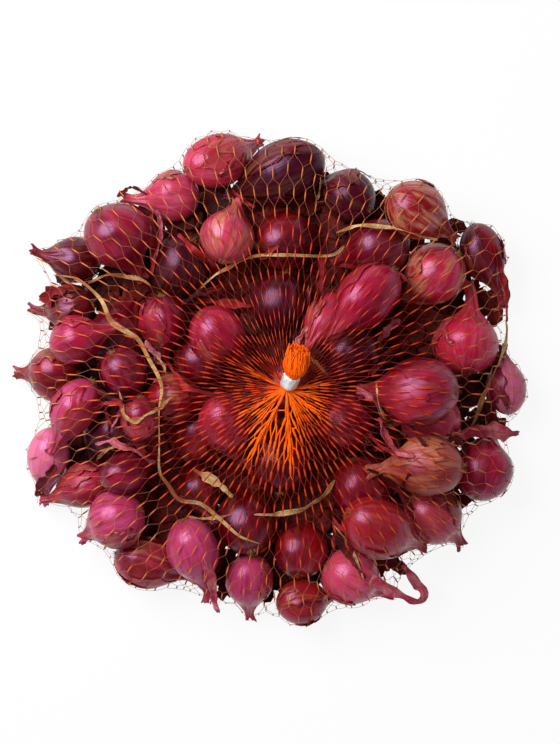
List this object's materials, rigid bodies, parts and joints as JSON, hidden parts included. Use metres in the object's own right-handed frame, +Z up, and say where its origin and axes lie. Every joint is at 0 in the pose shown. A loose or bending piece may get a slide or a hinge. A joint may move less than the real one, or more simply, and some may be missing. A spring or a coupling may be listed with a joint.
{
  "type": "net bag of red onion sets",
  "caption": "Small red planting onions held in orange netting that is gathered and clipped at both ends; lies flat on a surface.",
  "frame": {"origin": "middle of the bag's outline, on the surface it rests on", "axes": "+Z straight up from the surface; +Y towards the edge of the bag that the top tail points to; +X to its right"},
  "size_m": [0.257, 0.2408, 0.0656],
  "materials": {
    "skin_magenta": "thin dry skin, satin",
    "skin_rose": "thin dry skin, satin",
    "skin_purple": "thin dry skin, satin",
    "skin_crimson": "thin dry skin, dull",
    "skin_copper": "thin dry skin, dull",
    "dry_leaf": "dried leaf, matt",
    "net_orange": "thin extruded netting, slightly glossy",
    "clip_aluminium": "bright crimped wire"
  },
  "bodies": {
    "root": {"onion_01": "skin_rose", "onion_02": "skin_rose", "onion_03": "skin_purple", "onion_04": "skin_rose", "onion_05": "skin_magenta", "onion_06": "skin_crimson", "onion_07": "skin_crimson", "onion_08": "skin_magenta", "onion_09": "skin_crimson", "onion_10": "skin_magenta", "onion_11": "skin_purple", "onion_12": "skin_rose", "onion_13": "skin_rose", "onion_14": "skin_magenta", "onion_15": "skin_magenta", "onion_16": "skin_rose", "onion_17": "skin_magenta", "onion_18": "skin_magenta", "onion_19": "skin_crimson", "onion_20": "skin_rose", "onion_21": "skin_magenta", "onion_22": "skin_rose", "onion_23": "skin_magenta", "onion_24": "skin_magenta", "onion_25": "skin_crimson", "onion_26": "skin_crimson", "onion_27": "skin_crimson", "onion_28": "skin_rose", "onion_29": "skin_crimson", "onion_30": "skin_copper", "onion_31": "skin_magenta", "onion_32": "skin_magenta", "onion_33": "skin_purple", "onion_34": "skin_rose", "onion_35": "skin_rose", "onion_36": "skin_magenta", "onion_37": "skin_rose", "onion_38": "skin_purple", "onion_39": "skin_crimson", "onion_40": "skin_crimson", "onion_41": "skin_crimson", "onion_42": "skin_purple", "onion_43": "skin_crimson", "onion_44": "skin_magenta", "onion_45": "skin_crimson", "onion_46": "skin_purple", "onion_47": "skin_purple", "onion_48": "skin_crimson", "onion_49": "skin_crimson", "onion_50": "skin_magenta", "onion_51": "skin_rose", "onion_52": "skin_magenta", "onion_53": "skin_rose", "onion_54": "skin_magenta", "onion_55": "skin_crimson", "dry_leaf_left": "dry_leaf", "dry_leaf_top": "dry_leaf", "net": "net_orange", "top_clip": "clip_aluminium", "bottom_clip": "clip_aluminium"}
  },
  "joints": []
}
